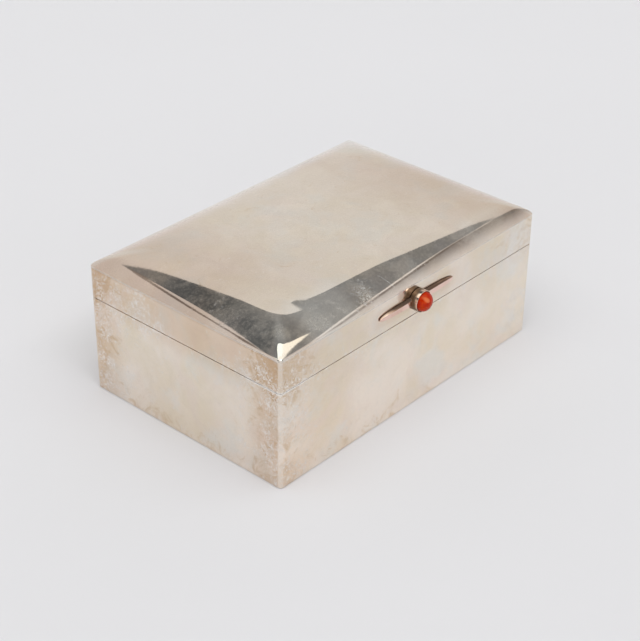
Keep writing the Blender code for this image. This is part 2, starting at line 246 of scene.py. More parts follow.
def edge_line(tree, value, points):
    """A line through places on the ceiling: it turns the place along the edge into the place across it."""
    node = tree.nodes.new("ShaderNodeFloatCurve")
    node.mapping.use_clip = False
    line = node.mapping.curves[0]
    for knot, place in zip(line.points, (points[0], points[-1])):
        knot.location = place
    for along, across in points[1:-1]:
        line.points.new(along, across)
    for knot in line.points:
        knot.handle_type = "AUTO_CLAMPED"
    node.mapping.update()
    feed(tree, node.inputs["Value"], value)
    return node.outputs[0]


def paint_studio(tree):
    """Colours each direction. A direction's place on the flat ceiling is its x and y over its height."""
    direction = tree.nodes.new("ShaderNodeTexCoord").outputs["Generated"]
    x, y, z = split(tree, direction)
    height = greatest(tree, z, LEAST_HEIGHT)
    across = calc(tree, "DIVIDE", x, height)
    along = calc(tree, "DIVIDE", y, height)

    low_side = calc(tree, "MINIMUM", across, along)
    walls = blend(tree, rise(tree, low_side, *WALL_SPAN), WALL_SHADE, WALL_LIGHT)
    dusk = blend(tree, rise(tree, along, *DUSK_SPAN), FRONT_DUSK, FRONT_PALE)
    dusk_sides = times(tree, rise(tree, across, *DUSK_RIGHT_SPAN), rise(tree, across, *DUSK_LEFT_SPAN))
    in_dusk = times(tree, rise(tree, along, *DUSK_BACK_SPAN), dusk_sides)
    walls = blend(tree, in_dusk, walls, dusk)
    walls = blend(tree, rise(tree, z, *HORIZON_SPAN), HORIZON, walls)

    past_right = less(tree, across, edge_line(tree, along, RIGHT_EDGE))
    past_far = less(tree, along, edge_line(tree, across, FAR_EDGE))
    past_notch = less(tree, across, edge_line(tree, along, NOTCH_EDGE))
    past_left = less(tree, -CEILING_REACH, across)
    past_near = less(tree, -CEILING_REACH, along)
    room = greatest(tree, past_right, past_far, past_notch, past_left, past_near)
    arm_side = mul_add(tree, less(tree, along, ARM_START[0]), ARM_LEAN, ARM_START[1])
    past_arm = less(tree, arm_side, across)
    arm = greatest(tree, past_arm, past_right, less(tree, along, ARM_FAR), less(tree, ARM_NEAR, along))
    under_ceiling = rise(tree, calc(tree, "MINIMUM", room, arm), SOFT_EDGE, -SOFT_EDGE)
    spur_rise = less(tree, along, SPUR_START[0])
    spur_off = mul_add(tree, less(tree, across, SPUR_START[1]), SPUR_LEAN, spur_rise)
    spur = times(tree, band(tree, spur_off, *SPUR_STRIPE), band(tree, across, *SPUR_REACH_STRIPE), SPUR_SHARE)
    ceiling = blend(tree, rise(tree, across, *CEILING_SPAN), CEILING_NEAR, CEILING_FAR)
    picture = blend(tree, greatest(tree, under_ceiling, spur), walls, ceiling)

    front = rise(tree, along, *RAIL_FRONT_SPAN)
    light_front = times(tree, band(tree, past_right, *LIGHT_FRONT_STRIPE), front)
    picture = blend(tree, light_front, picture, RAIL_LIGHT)
    dark_front = times(tree, band(tree, past_right, *DARK_FRONT_STRIPE), front, DARK_FRONT_SHARE)
    picture = blend(tree, dark_front, picture, RAIL_DARK)

    left = rise(tree, across, *RAIL_LEFT_SPAN)
    past_rail = less(tree, along, edge_line(tree, across, FAR_RAIL))
    between = times(tree, rise(tree, past_far, 0.0, SOFT_EDGE), rise(tree, past_rail, *PALE_LEFT_SPAN))
    picture = blend(tree, times(tree, between, left), picture, RAIL_PALE)
    dark_left = times(tree, band(tree, past_rail, *DARK_LEFT_STRIPE), left, DARK_LEFT_SHARE)
    picture = blend(tree, dark_left, picture, RAIL_DARK)

    past_side = less(tree, across, edge_line(tree, along, LAMP_SIDE))
    past_ends = [mul_add(tree, across, lean, less(tree, along, end)) for lean, end in LAMP_ENDS]
    past_reach = [less(tree, -LAMP_REACH, across), less(tree, -LAMP_REACH, along)]
    past_lamp = greatest(tree, *past_ends, past_side, *past_reach)
    heart_across = unsigned(tree, less(tree, across, HEART_PLACE[0]))
    heart_along = unsigned(tree, less(tree, along, HEART_PLACE[1]))
    off_heart = calc(tree, "ADD", heart_across, heart_along)
    strip = band(tree, calc(tree, "ADD", across, along), *LAMP_WHITE_STRIPE)
    white = times(tree, strip, rise(tree, past_side, *LAMP_WHITE_SPAN))
    glow = blend(tree, white, LAMP_EDGE, LAMP_WHITE)
    glow = blend(tree, rise(tree, off_heart, *HEART_SPAN), glow, LAMP_HEART)
    picture = blend(tree, rise(tree, past_lamp, SOFT_EDGE, -SOFT_EDGE), picture, glow)

    fill(tree, tree.nodes["Background"], Color=picture)


studio = bpy.data.worlds.new("studio")
studio.use_nodes = True
bpy.context.scene.world = studio
paint_studio(studio.node_tree)
bpy.context.scene.view_settings.view_transform = "Standard"

sky = bpy.data.lights.new("soft_light", "SUN")
sky.energy = SKY_STRENGTH
sky.angle = SKY_SPREAD
soft_light = bpy.data.objects.new("soft_light", sky)
soft_light.rotation_euler = Vector(SKY_FROM).to_track_quat("Z", "Y").to_euler()
soft_light.visible_glossy = False
bpy.context.scene.collection.objects.link(soft_light)


# Floor: one large matt sheet of pale grey board that the box stands on. It lies level and reaches well past
# the camera's view.
FLOOR_HALF = 4.0
FLOOR_COLOUR = (0.775, 0.768, 0.808)
FLOOR_MOTTLE = 0.99
FLOOR_NOISE = (3.0, 2.0)
FLOOR_SPAN = (0.3, 0.7)


def lattice(rows, columns, close_rows=False, close_columns=False):
    """Corner numbers of the quads of a grid of points, row by row. A closed side joins its two ends."""
    row = np.arange(rows if close_rows else rows - 1)[:, None]
    column = np.arange(columns if close_columns else columns - 1)[None, :]
    next_row = (row + 1) % rows
    next_column = (column + 1) % columns
    corners = (
        row * columns + column,
        next_row * columns + column,
        next_row * columns + next_column,
        row * columns + next_column,
    )
    spread = [np.broadcast_to(corner, (row.size, column.size)) for corner in corners]
    return np.stack(spread, -1).reshape(-1, 4)


def piece_of(name, points, faces, finish, ends=()):
    """Makes a smooth mesh object of points, quads and end polygons, with its place in its mesh."""
    mesh = bpy.data.meshes.new(name)
    mesh.from_pydata(np.asarray(points, float).reshape(-1, 3).tolist(), [], [*faces.tolist(), *ends])
    mesh.shade_smooth()
    mesh.materials.append(finish)
    made = bpy.data.objects.new(name, mesh)
    bpy.context.scene.collection.objects.link(made)
    return made


def finish_of(name, metallic, **settings):
    """A new material: its node tree and its Principled shader, with plain settings on the shader."""
    made = bpy.data.materials.new(name)
    made.use_nodes = True
    shader = made.node_tree.nodes["Principled BSDF"]
    shader.inputs["Metallic"].default_value = metallic
    fill(made.node_tree, shader, **settings)
    return made, made.node_tree, shader


def object_place(tree):
    """The point's place on the object, in metres."""
    return tree.nodes.new("ShaderNodeTexCoord").outputs["Object"]


board_paper, tree, shader = finish_of("floor_board", 0, Roughness=0.9, Specular_IOR_Level=0.0)
tone = rise(tree, noise(tree, object_place(tree), *FLOOR_NOISE), *FLOOR_SPAN)
floor_shade = [part * FLOOR_MOTTLE for part in FLOOR_COLOUR]
fill(tree, shader, Base_Color=blend(tree, tone, floor_shade, FLOOR_COLOUR))
corner = FLOOR_HALF * np.array([[-1, -1, 0], [1, -1, 0], [-1, 1, 0], [1, 1, 0]])
floor = piece_of("floor", corner, np.array([[0, 1, 3, 2]]), board_paper)


# Body casing: the four silver walls of the box, bent from one strip and soldered at a corner, with rounded
# upright corners and eased edges. Handling has browned the silver towards its corners and its foot. A value
# named NOISE goes into noise and one named SPOT, a place and its reach, into spot.
WALL = 0.0010
CORNER_RADIUS = 0.0022
FOOT_ROUND = 0.0008
SEAM_EASE = 0.00022
INNER_EASE = 0.15
CORNER_STEPS = 14
EASE_STEPS = 7
SIDE_STEPS = 40
RUN_END = 0.004
FLAT_END = 0.0004
SILVER_PALE = (0.885, 0.802, 0.712)
SILVER_ROSE = (0.84, 0.73, 0.65)
SILVER_STRAW = (0.81, 0.715, 0.565)
SILVER_TAN = (0.67, 0.515, 0.345)
SILVER_BROWN = (0.42, 0.26, 0.15)
SILVER_GREY = (0.80, 0.79, 0.745)
SCUFF_WHITE = (1.0, 0.985, 0.965)
CLEAR_FILM = (1.0, 1.0, 1.0)
SMOKY_FILM = (0.855, 0.745, 0.645)
PAINTED_PALE_REFLECTION = (1.09, 1.09, 1.09)
CLOUDS = (
    (SILVER_STRAW, (24.0, 4.0, 0.55, 0.5), (0.36, 0.66), 1.0),
    (SILVER_ROSE, (47.0, 3.0, 0.5, 0.8), (0.45, 0.70), 0.7),
    (SILVER_GREY, (39.0, 4.0, 0.6, 0.3), (0.48, 0.68), 0.8),
)
PATCH_NOISE = (120.0, 8.0, 0.75, 1.1)
SPECK_NOISE = (700.0, 3.0, 0.6, 1.0)
CURL_NOISE = (300.0, 3.0, 0.65, 1.8)
WHERE_NOISE = (85.0, 3.0, 0.55)
FLECK_NOISE = (560.0, 2.0, 0.5, 0.5)
HAZE_NOISE = (52.0, 6.0, 0.66, 0.6)
GRAIN_NOISE = (620.0, 4.0, 0.7)
TAN_SPAN = (0.61, 0.80)
SPECK_SPAN = (0.56, 0.66)
WORN_SPAN = (0.62, 0.95)
CURL_SPAN = (0.036, 0.012)
CURL_RIM_STRIPE = (0.052, 0.010, 0.010)
FLECK_SPAN = (0.58, 0.66)
CURLS_HERE_SPAN = (0.76, 0.92)
RIMS_HERE_SPAN = (0.78, 0.94)
FLECKS_HERE_SPAN = (0.60, 0.85)
HAZE_SPAN = (0.45, 0.62)
GRAIN_SPAN = (0.42, 0.75)
BARE_ARC_SPAN = (-0.0021, -0.00145)
SPOT_HEART = 0.3


def tarnish_group():
    """The patina of old silver: clouds of straw, rose and grey tones, tan and brown patches where it is worn.

    Its film dulls the metal in places. Curled scuffs and fine flecks are lighter, because they are bare.
    """
    group = bpy.data.node_groups.new("tarnish", "ShaderNodeTree")
    for name, kind, default in (
        ("Place", "NodeSocketVector", None),
        ("Tint", "NodeSocketColor", (1.0, 1.0, 1.0, 1.0)),
        ("Wear", "NodeSocketFloat", 0.0),
        ("Scuffing", "NodeSocketFloat", 0.5),
        ("Clouding", "NodeSocketFloat", 1.0),
        ("Shine", "NodeSocketFloat", 0.1),
        ("Film", "NodeSocketFloat", 0.02),
    ):
        socket = group.interface.new_socket(name, in_out="INPUT", socket_type=kind)
        if default is not None:
            socket.default_value = default
    for name in ("Color", "Roughness", "Metal", "Height"):
        kind = "NodeSocketColor" if name == "Color" else "NodeSocketFloat"
        group.interface.new_socket(name, in_out="OUTPUT", socket_type=kind)
    given = group.nodes.new("NodeGroupInput").outputs
    place, wear, scuffing, clouding = given["Place"], given["Wear"], given["Scuffing"], given["Clouding"]

    colour = SILVER_PALE
    for tone, texture, span, strength in CLOUDS:
        cloud = rise(group, noise(group, place, *texture), *span)
        colour = blend(group, times(group, cloud, clouding, strength), colour, tone)

    worn = mul_add(group, wear, 0.42, noise(group, place, *PATCH_NOISE))
    tanned = rise(group, worn, *TAN_SPAN)
    colour = blend(group, times(group, tanned, 0.7), colour, SILVER_TAN)
    speck = rise(group, noise(group, place, *SPECK_NOISE), *SPECK_SPAN)
    speckled = times(group, speck, rise(group, worn, *WORN_SPAN), 0.5)
    colour = blend(group, speckled, colour, SILVER_BROWN)
    colour = blend(group, 1.0, colour, given["Tint"], "MULTIPLY")

    curls = unsigned(group, less(group, noise(group, place, *CURL_NOISE), 0.5))
    where = mul_add(group, noise(group, place, *WHERE_NOISE), 0.9, scuffing)
    scuffed = times(group, rise(group, curls, *CURL_SPAN), rise(group, where, *CURLS_HERE_SPAN))
    fleck = rise(group, noise(group, place, *FLECK_NOISE), *FLECK_SPAN)
    flecked = times(group, fleck, rise(group, where, *FLECKS_HERE_SPAN), 0.6)
    light = greatest(group, scuffed, flecked)
    edged = times(group, band(group, curls, *CURL_RIM_STRIPE), rise(group, where, *RIMS_HERE_SPAN), 0.35)
    colour = blend(group, edged, colour, SILVER_BROWN)
    colour = blend(group, times(group, light, 0.85), colour, SCUFF_WHITE)

    hazy = noise(group, place, *HAZE_NOISE)
    grain = noise(group, place, *GRAIN_NOISE)
    film = times(group, rise(group, hazy, *HAZE_SPAN), given["Film"])
    film = mul_add(group, rise(group, grain, *GRAIN_SPAN), given["Film"], film)
    film = mul_add(group, light, 0.14, film)
    rough = mul_add(group, hazy, 0.05, given["Shine"])
    rough = mul_add(group, light, 0.16, rough)
    rough = mul_add(group, tanned, 0.07, rough)
    height = mul_add(group, light, 0.5, hazy)
    result = group.nodes.new("NodeGroupOutput")
    fill(group, result, Color=colour, Roughness=rough, Metal=less(group, 1.0, film), Height=height)
    return group


def place_group(tree, group, **settings):
    """Puts a node group into a material and sets its inputs."""
    node = tree.nodes.new("ShaderNodeGroup")
    node.node_tree = group
    fill(tree, node, **settings)
    return node.outputs


def dress(tree, shader, patina, depth):
    """Feeds the patina's colour, roughness, metal and height into a metal's shader."""
    bump = tree.nodes.new("ShaderNodeBump")
    fill(tree, bump, Strength=1.0, Distance=depth, Height=patina["Height"])
    fill(tree, shader, Base_Color=patina["Color"], Roughness=patina["Roughness"], Metallic=patina["Metal"])
    fill(tree, shader, Normal=bump.outputs["Normal"])


def corner_wear(tree, x, y, reach):
    """Grows from 0 to 1 over the last stretch of wall before an upright corner."""
    near_x = rise(tree, unsigned(tree, x), half_width - reach, half_width)
    near_y = rise(tree, unsigned(tree, y), half_depth - reach, half_depth)
    return times(tree, near_x, near_y)


def corner_arc(tree, x, y):
    """One along the middle of each rounded upright corner, which hands have rubbed bare."""
    past = less(tree, calc(tree, "ADD", unsigned(tree, x), unsigned(tree, y)), half_width + half_depth)
    return rise(tree, past, *BARE_ARC_SPAN)


def spot(tree, place, centre, reach):
    """One at a spot, dying away to nothing at its reach."""
    node = tree.nodes.new("ShaderNodeVectorMath")
    node.operation = "DISTANCE"
    feed(tree, node.inputs[0], place)
    feed(tree, node.inputs[1], centre)
    return rise(tree, node.outputs["Value"], reach, reach * SPOT_HEART)


def wall_path(half_width, half_depth, radius):
    """A rounded rectangle as a path round the upright walls.

    Each point is the corner's centre, or a place between two of them, plus the radius along the outward
    normal. The straight runs have a short first and last step, so that the corners shade cleanly.
    """
    centre_x, centre_y = half_width - radius, half_depth - radius
    centres = np.array([centre_x, centre_y]) * [[1, 1], [-1, 1], [-1, -1], [1, -1]]
    inner = np.linspace(RUN_END, 1 - RUN_END, SIDE_STEPS)
    cores, angles = [], []
    for corner in range(4):
        arc = (corner + np.linspace(0, 1, CORNER_STEPS + 1)) * math.pi / 2
        run = centres[(corner + 1) % 4] - centres[corner]
        cores += [np.tile(centres[corner], (arc.size, 1)), centres[corner] + inner[:, None] * run]
        angles += [arc, np.full(inner.size, arc[-1])]
    angle = np.concatenate(angles)
    return np.concatenate(cores), np.stack([np.cos(angle), np.sin(angle)], -1)


def eased_profile(low, high, thickness, low_ease, high_ease):
    """The wall's upright section as (depth from the outer face, height), counted up the outside.

    Quarter circles round the two outer edges and small ones the two inner edges, and each flat side has a
    point close to each arc, so that the flats stay flat in the shading.
    """
    inner_ease = thickness * INNER_EASE
    points = []
    for centre_depth, centre_height, radius, start in (
        (low_ease, low + low_ease, low_ease, math.pi * 1.5),
        (high_ease, high - high_ease, high_ease, math.pi),
        (thickness - inner_ease, high - inner_ease, inner_ease, math.pi * 0.5),
        (thickness - inner_ease, low + inner_ease, inner_ease, 0.0),
    ):
        turned = start - np.linspace(0, math.pi / 2, EASE_STEPS)
        arc = np.stack([np.cos(turned), np.sin(turned)], -1)
        points.append([centre_depth, centre_height] + radius * arc)
    outer_low, outer_high, inner_high, inner_low = points
    outside = [[0, outer_low[-1][1] + FLAT_END], [0, outer_high[0][1] - FLAT_END]]
    inside = [[thickness, inner_high[-1][1] - FLAT_END], [thickness, inner_low[0][1] + FLAT_END]]
    return np.concatenate([outer_low, outside, outer_high, inner_high, inside, inner_low])


def wall_strip(name, half_width, half_depth, profile, finish):
    """Four walls in one closed strip: the section carried round the rounded rectangle."""
    core, normal = wall_path(half_width, half_depth, CORNER_RADIUS)
    spread = core[:, None, :] + normal[:, None, :] * (CORNER_RADIUS - profile[None, :, :1])
    heights = np.broadcast_to(profile[None, :, 1:], (*spread.shape[:2], 1))
    points = np.concatenate([spread, heights], -1)
    return piece_of(name, points, lattice(len(core), len(profile), True, True), finish)


tarnish = tarnish_group()
body_low, body_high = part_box("body_casing")
half_width, half_depth = body_high.x, body_high.y
lid_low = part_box("lid_casing")[0]
dome_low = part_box("lid_dome")[0]
cup_low, cup_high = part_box("bezel_cup")
seam_height = (body_high.z + lid_low.z) / 2
thumb_height = (cup_low.z + cup_high.z) / 2
KNOCKED_SPOT = ((-half_width, 0.040, seam_height + 0.003), 0.030)
PALE_SEAM_SPOT = ((-half_width, -half_depth, seam_height), 0.034)
DULL_SPOT = ((-0.0132, -half_depth, thumb_height + 0.0066), 0.0042)
CORNER_WEAR = 0.042
LID_SPAN = (-0.012, 0.004)
FOOT_WEAR_SPAN = (0.020, 0.0, 0.0, 0.35)
FOOT_LEFT_SPAN = (0.06, 0.0, 0.3)
SEAM_WEAR_SPAN = (0.007, 0.0, 0.0, 0.16)
LEFT_TAN_SPAN = (0.03, -0.03, 0.0, 0.36)
LID_TAN = 0.45
CORNER_SCUFFS = 0.24
PLAIN_SCUFFS = 0.20
FRONT_TURN_SPAN = (0.0005, 0.0030)
SIDE_END_SPAN = (0.030, 0.004)
LID_SIDE_FILM = 0.8
LID_FRONT_FILM = 0.14
CORNER_FILM_SPAN = (0.040, 0.0)
FOOT_FILM_SPAN = (0.030, 0.004)
LEFT_FILM_SPAN = (-0.030, -0.085, 0.0, 0.28)
THUMB_BAND_HEIGHT_SPAN = (0.0078, 0.0040, 0.0, 0.45)
THUMB_BAND_LENGTH_SPAN = (0.042, 0.028)
PAINTED_PALER_SPAN = (0.055, 0.015, 0.3)
SOLDER_BROWN_STRIPE = (0.0009, 0.0002, 0.00015)
SOLDER_HIGHLIGHT_SPAN = (0.0006, 0.0004, 0.0, 0.5)
SEAM_PALE_SPAN = (0.0009, 0.0005, 0.0, 0.8)
WALL_RELIEF = 0.00003
wall_silver, tree, shader = finish_of("wall_silver", 1)
place = object_place(tree)
x, y, z = split(tree, place)
above_seam = less(tree, z, seam_height)
off_seam = unsigned(tree, above_seam)
off_thumb = unsigned(tree, less(tree, z, thumb_height))
on_lid = rise(tree, above_seam, *LID_SPAN)
corner_share = corner_wear(tree, x, y, CORNER_WEAR)
tan_share = mul_add(tree, on_lid, LID_TAN, rise(tree, x, *LEFT_TAN_SPAN))
foot_share = times(tree, rise(tree, z, *FOOT_WEAR_SPAN), rise(tree, x, *FOOT_LEFT_SPAN))
wear = greatest(tree, times(tree, corner_share, tan_share), foot_share)
knocked = greatest(tree, corner_share, spot(tree, place, *KNOCKED_SPOT))
seam_scuffs = calc(tree, "ADD", rise(tree, off_seam, *SEAM_WEAR_SPAN), PLAIN_SCUFFS)
scuffing = mul_add(tree, knocked, CORNER_SCUFFS, seam_scuffs)
off_front = rise(tree, calc(tree, "ADD", y, half_depth), *FRONT_TURN_SPAN)
on_front = less(tree, 1.0, off_front)
side_end = rise(tree, less(tree, half_depth, unsigned(tree, y)), *SIDE_END_SPAN)
side_film = times(tree, off_front, greatest(tree, times(tree, on_lid, LID_SIDE_FILM), side_end))
near_corner = rise(tree, calc(tree, "ADD", x, half_width), *CORNER_FILM_SPAN)
near_foot = times(tree, near_corner, rise(tree, z, *FOOT_FILM_SPAN))
left_front = rise(tree, x, *LEFT_FILM_SPAN)
lid_front = times(tree, on_lid, LID_FRONT_FILM)
# The front wall is tinted smoky in a band a few millimetres above and below the thumbpiece, along its length.
beside_thumb = rise(tree, unsigned(tree, x), *THUMB_BAND_LENGTH_SPAN)
thumb_band_tint = times(tree, rise(tree, off_thumb, *THUMB_BAND_HEIGHT_SPAN), beside_thumb)
front_film = times(tree, on_front, greatest(tree, near_foot, left_front, lid_front, thumb_band_tint))
tint = blend(tree, greatest(tree, side_film, front_film), CLEAR_FILM, SMOKY_FILM)
# Painted light: the box's front wall is painted paler, most of all towards its foot, a painted brighter
# reflection of the floor there.
painted_paler_foot = times(tree, on_front, less(tree, 1.0, on_lid), rise(tree, z, *PAINTED_PALER_SPAN))
tint = blend(tree, painted_paler_foot, tint, PAINTED_PALE_REFLECTION, "MULTIPLY")
patina = place_group(
    tree, tarnish, Place=place, Tint=tint, Wear=wear, Scuffing=scuffing, Clouding=0.8, Shine=0.03, Film=0.03
)
dress(tree, shader, patina, WALL_RELIEF)
below_dome = less(tree, dome_low.z, z)
browned = mul_add(tree, off_front, 0.38, 0.12)
solder_brown = times(tree, band(tree, below_dome, *SOLDER_BROWN_STRIPE), browned)
colour = blend(tree, solder_brown, patina["Color"], SILVER_BROWN)
colour = blend(tree, times(tree, corner_arc(tree, x, y), 0.5), colour, SILVER_PALE)
# A pale line along the top of the lid walls, under the dome, is painted white and less metallic: a painted
# highlight, partly worn solder. The pale seam near the left front corner is rubbed bare.
seam_pale = times(tree, rise(tree, off_seam, *SEAM_PALE_SPAN), spot(tree, place, *PALE_SEAM_SPOT))
bare = greatest(tree, rise(tree, below_dome, *SOLDER_HIGHLIGHT_SPAN), seam_pale)
fill(
    tree,
    shader,
    Base_Color=blend(tree, bare, colour, SCUFF_WHITE),
    Roughness=mul_add(tree, spot(tree, place, *DULL_SPOT), 0.4, patina["Roughness"]),
    Metallic=mul_add(tree, bare, -0.30, patina["Metal"]),
)
body_walls = wall_strip(
    "body_walls",
    half_width,
    half_depth,
    eased_profile(body_low.z, body_high.z, WALL, FOOT_ROUND, SEAM_EASE),
    wall_silver,
)
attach(body_walls, "box")
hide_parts("body_casing")


# Base plate: a flat silver sheet let into the bottom of the walls and soldered all round. The box stands on
# it, so it is dull and scuffed.


def refinish(node, finish):
    """Gives a node of the frame a new finish."""
    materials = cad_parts[node].data.materials
    materials.clear()
    materials.append(finish)


under_silver, tree, shader = finish_of("under_silver", 1)
place = object_place(tree)
patina = place_group(tree, tarnish, Place=place, Wear=0.4, Scuffing=0.3, Clouding=1.0, Shine=0.2, Film=0.08)
dress(tree, shader, patina, WALL_RELIEF)
refinish("base_plate", under_silver)


# Lid casing: the lid's four walls, bent and soldered like the box's. They meet the box in a fine seam, and
# the dome is soldered on their upper edge.
SOLDER_LINE = 0.00012
EDGE_EASE = 0.00018
lid_walls = wall_strip(
    "lid_walls",
    half_width,
    half_depth,
    eased_profile(lid_low.z, dome_low.z - SOLDER_LINE, WALL, SEAM_EASE, EDGE_EASE),
    wall_silver,
)
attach(lid_walls, "lid")
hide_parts("lid_casing")


# Lid dome: a raised silver plate soldered on the lid's walls and polished like a mirror. It is steep at its
# edge and dies away inwards, and its sides meet in soft ridges at the corners.
DOME_RISE = 0.0100
DOME_ROLL = 0.01025
DOME_EDGE = 0.0006
DOME_SHEET = 0.0012
DOME_RIDGE = 6.0
DOME_CELLS_X = 230
DOME_CELLS_Y = 160
DOME_GRADING = 1.7
LEAST_INSET = 1e-7
EASE_LIFT = 0.55
EASE_INSET = 0.3
END_BROWN = (0.885, 0.82, 0.78)
END_NOISE = (30.0, 3.0)
BROWN_FROM = 0.035
HAZE_GLOW_WHITE = (0.86, 0.835, 0.79)
CURLED_SPOT = ((-0.034, -0.060, 0.084), 0.014)
WORMY_SPOT = ((-0.096, -0.018, 0.084), 0.022)
NEAR_END_SPOT = ((-0.097, 0.034, 0.083), 0.026)
FAR_END_SPOT = ((0.066, -0.061, 0.083), 0.030)
FAR_END_SPAN = (-0.050, -0.058, 0.0, 0.6)
RIDGE_FOOT_SPOT = ((-0.0925, -0.0590, 0.084), 0.0065)
CLEAN_LEFT_SPOT = ((-0.078, -0.052, 0.084), 0.055)
CLEAN_RIGHT_SPOT = ((0.098, 0.060, 0.084), 0.055)
RIDGE_WIDTH_SPAN = (0.0055, 0.0005)
RIDGE_LENGTH_SPAN = (0.028, 0.010)
SLOPE_STRIPE = (-0.062, 0.018, 0.006)
SLOPE_SPAN = (-0.040, -0.052)
SCRATCH_PLACE = (-0.0179, -0.0585)
SCRATCH_LEAN = 0.274
SCRATCH_STRIPE = (0.0, 0.00016, 0.0001)
SCRATCH_LENGTH_STRIPE = (-0.0625, 0.0045, 0.001)
DOME_RELIEF = 0.000006


def graded_lines(half_size, cells):
    """Places from the low edge to the high one, close together at both and wide apart between them."""
    arc_steps = CORNER_STEPS // 2
    arc = CORNER_RADIUS * np.arange(arc_steps) / arc_steps
    steps = cells // 2 - arc_steps
    rest = CORNER_RADIUS + (half_size - CORNER_RADIUS) * (np.arange(steps + 1) / steps) ** DOME_GRADING
    inset = np.concatenate([arc, rest])
    return np.concatenate([inset - half_size, half_size - inset[-2::-1]])


def drawn_in(x, y):
    """Draws the square corners of the grid in to the rounded ones: square rings become round ones."""
    past_x = np.abs(x) - (half_width - CORNER_RADIUS)
    past_y = np.abs(y) - (half_depth - CORNER_RADIUS)
    in_corner = (past_x > 0) & (past_y > 0)
    reach = np.maximum(past_x, past_y)
    angle = math.pi / 4 * np.minimum(past_x, past_y) / np.where(in_corner, reach, 1)
    angle = np.where(past_y > past_x, math.pi / 2 - angle, angle)
    round_x = np.copysign(half_width - CORNER_RADIUS + reach * np.cos(angle), x)
    round_y = np.copysign(half_depth - CORNER_RADIUS + reach * np.sin(angle), y)
    return np.where(in_corner, round_x, x), np.where(in_corner, round_y, y)


def crown(x, y):
    """Height over the dome's edge: the rise times one less the exponential of minus the inset over the roll.

    The inset blends the distances to the four edges as a power mean, so that the sides meet in a soft ridge.
    """
    insets = np.stack([half_width + x, half_width - x, half_depth + y, half_depth - y])
    blended = ((np.maximum(insets, LEAST_INSET) / DOME_ROLL) ** -DOME_RIDGE).sum(0) ** (-1 / DOME_RIDGE)
    return DOME_RISE * (1 - np.exp(-blended))


def rim_of(grid_numbers):
    """The numbers of a grid's border points, counted anticlockwise from above."""
    sides = [grid_numbers[:-1, 0], grid_numbers[-1, :-1], grid_numbers[:0:-1, -1], grid_numbers[0, :0:-1]]
    return np.concatenate(sides)


def dome_piece(name, finish):
    """A closed sheet: the crowned grid, the same grid a sheet lower, and an upright eased edge between."""
    lines_x, lines_y = graded_lines(half_width, DOME_CELLS_X), graded_lines(half_depth, DOME_CELLS_Y)
    square_x, square_y = np.meshgrid(lines_x, lines_y, indexing="ij")
    x, y = drawn_in(square_x, square_y)
    lift = crown(square_x, square_y)
    upper = np.stack([x, y, dome_low.z + DOME_EDGE + lift], -1).reshape(-1, 3)
    lower_height = dome_low.z + np.maximum(DOME_EDGE + lift - DOME_SHEET, 0)
    lower = np.stack([x, y, lower_height], -1).reshape(-1, 3)

    numbers = np.arange(x.size).reshape(x.shape)
    rim = rim_of(numbers)
    border = upper[rim, :2]
    core_limit = np.array([half_width - CORNER_RADIUS, half_depth - CORNER_RADIUS])
    core = np.clip(border, -core_limit, core_limit)
    outwards = (border - core) / CORNER_RADIUS
    upper[rim, :2] -= outwards * EDGE_EASE
    lower[rim, :2] -= outwards * EDGE_EASE
    upper[rim, 2] += EDGE_EASE * EASE_LIFT
    edge_rows = []
    for inset, height in (
        (EASE_INSET, DOME_EDGE),
        (0.0, DOME_EDGE - EDGE_EASE),
        (0.0, EDGE_EASE),
        (EASE_INSET, EDGE_EASE * EASE_INSET),
    ):
        row = border - outwards * EDGE_EASE * inset
        edge_rows.append(np.column_stack([row, np.full(len(rim), dome_low.z + height)]))

    top_faces = lattice(*x.shape)
    under_faces = top_faces[:, ::-1] + x.size
    edge_numbers = 2 * x.size + np.arange(len(edge_rows) * len(rim)).reshape(-1, len(rim))
    rings = np.concatenate([rim[None], edge_numbers, rim[None] + x.size])
    side_faces = rings.reshape(-1)[lattice(*rings.shape, False, True)]
    points = np.concatenate([upper, lower, *edge_rows])
    return piece_of(name, points, np.concatenate([top_faces, under_faces, side_faces]), finish)


dome_silver, tree, shader = finish_of("dome_silver", 1)
place = object_place(tree)
x, y, _ = split(tree, place)
curled = times(tree, spot(tree, place, *CURLED_SPOT), 0.24)
wormy = times(tree, spot(tree, place, *WORMY_SPOT), 0.13)
scuffing = calc(tree, "ADD", greatest(tree, curled, wormy), 0.12)
patina = place_group(
    tree, tarnish, Place=place, Wear=0.08, Scuffing=scuffing, Clouding=0.5, Shine=0.0, Film=0.105
)
dress(tree, shader, patina, DOME_RELIEF)
# Painted glow, partly haze film: the corner ridges, part of the front slope, the right front end, the left
# end and most of all the foot of the left front ridge are made whiter and less metallic, so that the dark
# reflection there shows lighter.
inset_x = less(tree, half_width, unsigned(tree, x))
inset_y = less(tree, half_depth, unsigned(tree, y))
off_ridge = unsigned(tree, less(tree, inset_x, inset_y))
on_ridge = times(tree, rise(tree, off_ridge, *RIDGE_WIDTH_SPAN), rise(tree, inset_x, *RIDGE_LENGTH_SPAN))
on_slope = times(tree, band(tree, x, *SLOPE_STRIPE), rise(tree, y, *SLOPE_SPAN))
far_end = times(tree, spot(tree, place, *FAR_END_SPOT), rise(tree, y, *FAR_END_SPAN))
haze_and_glow = greatest(tree, on_ridge, on_slope, far_end)
glow_veil = times(tree, greatest(tree, haze_and_glow, spot(tree, place, *NEAR_END_SPOT)), 0.125)
glow_veil = mul_add(tree, spot(tree, place, *RIDGE_FOOT_SPOT), 0.13, glow_veil)
uneven = mul_add(tree, noise(tree, place, *END_NOISE), 0.03, unsigned(tree, x))
clean = greatest(tree, spot(tree, place, *CLEAN_LEFT_SPOT), spot(tree, place, *CLEAN_RIGHT_SPOT))
browned = mul_add(tree, clean, -0.9, 1.0)
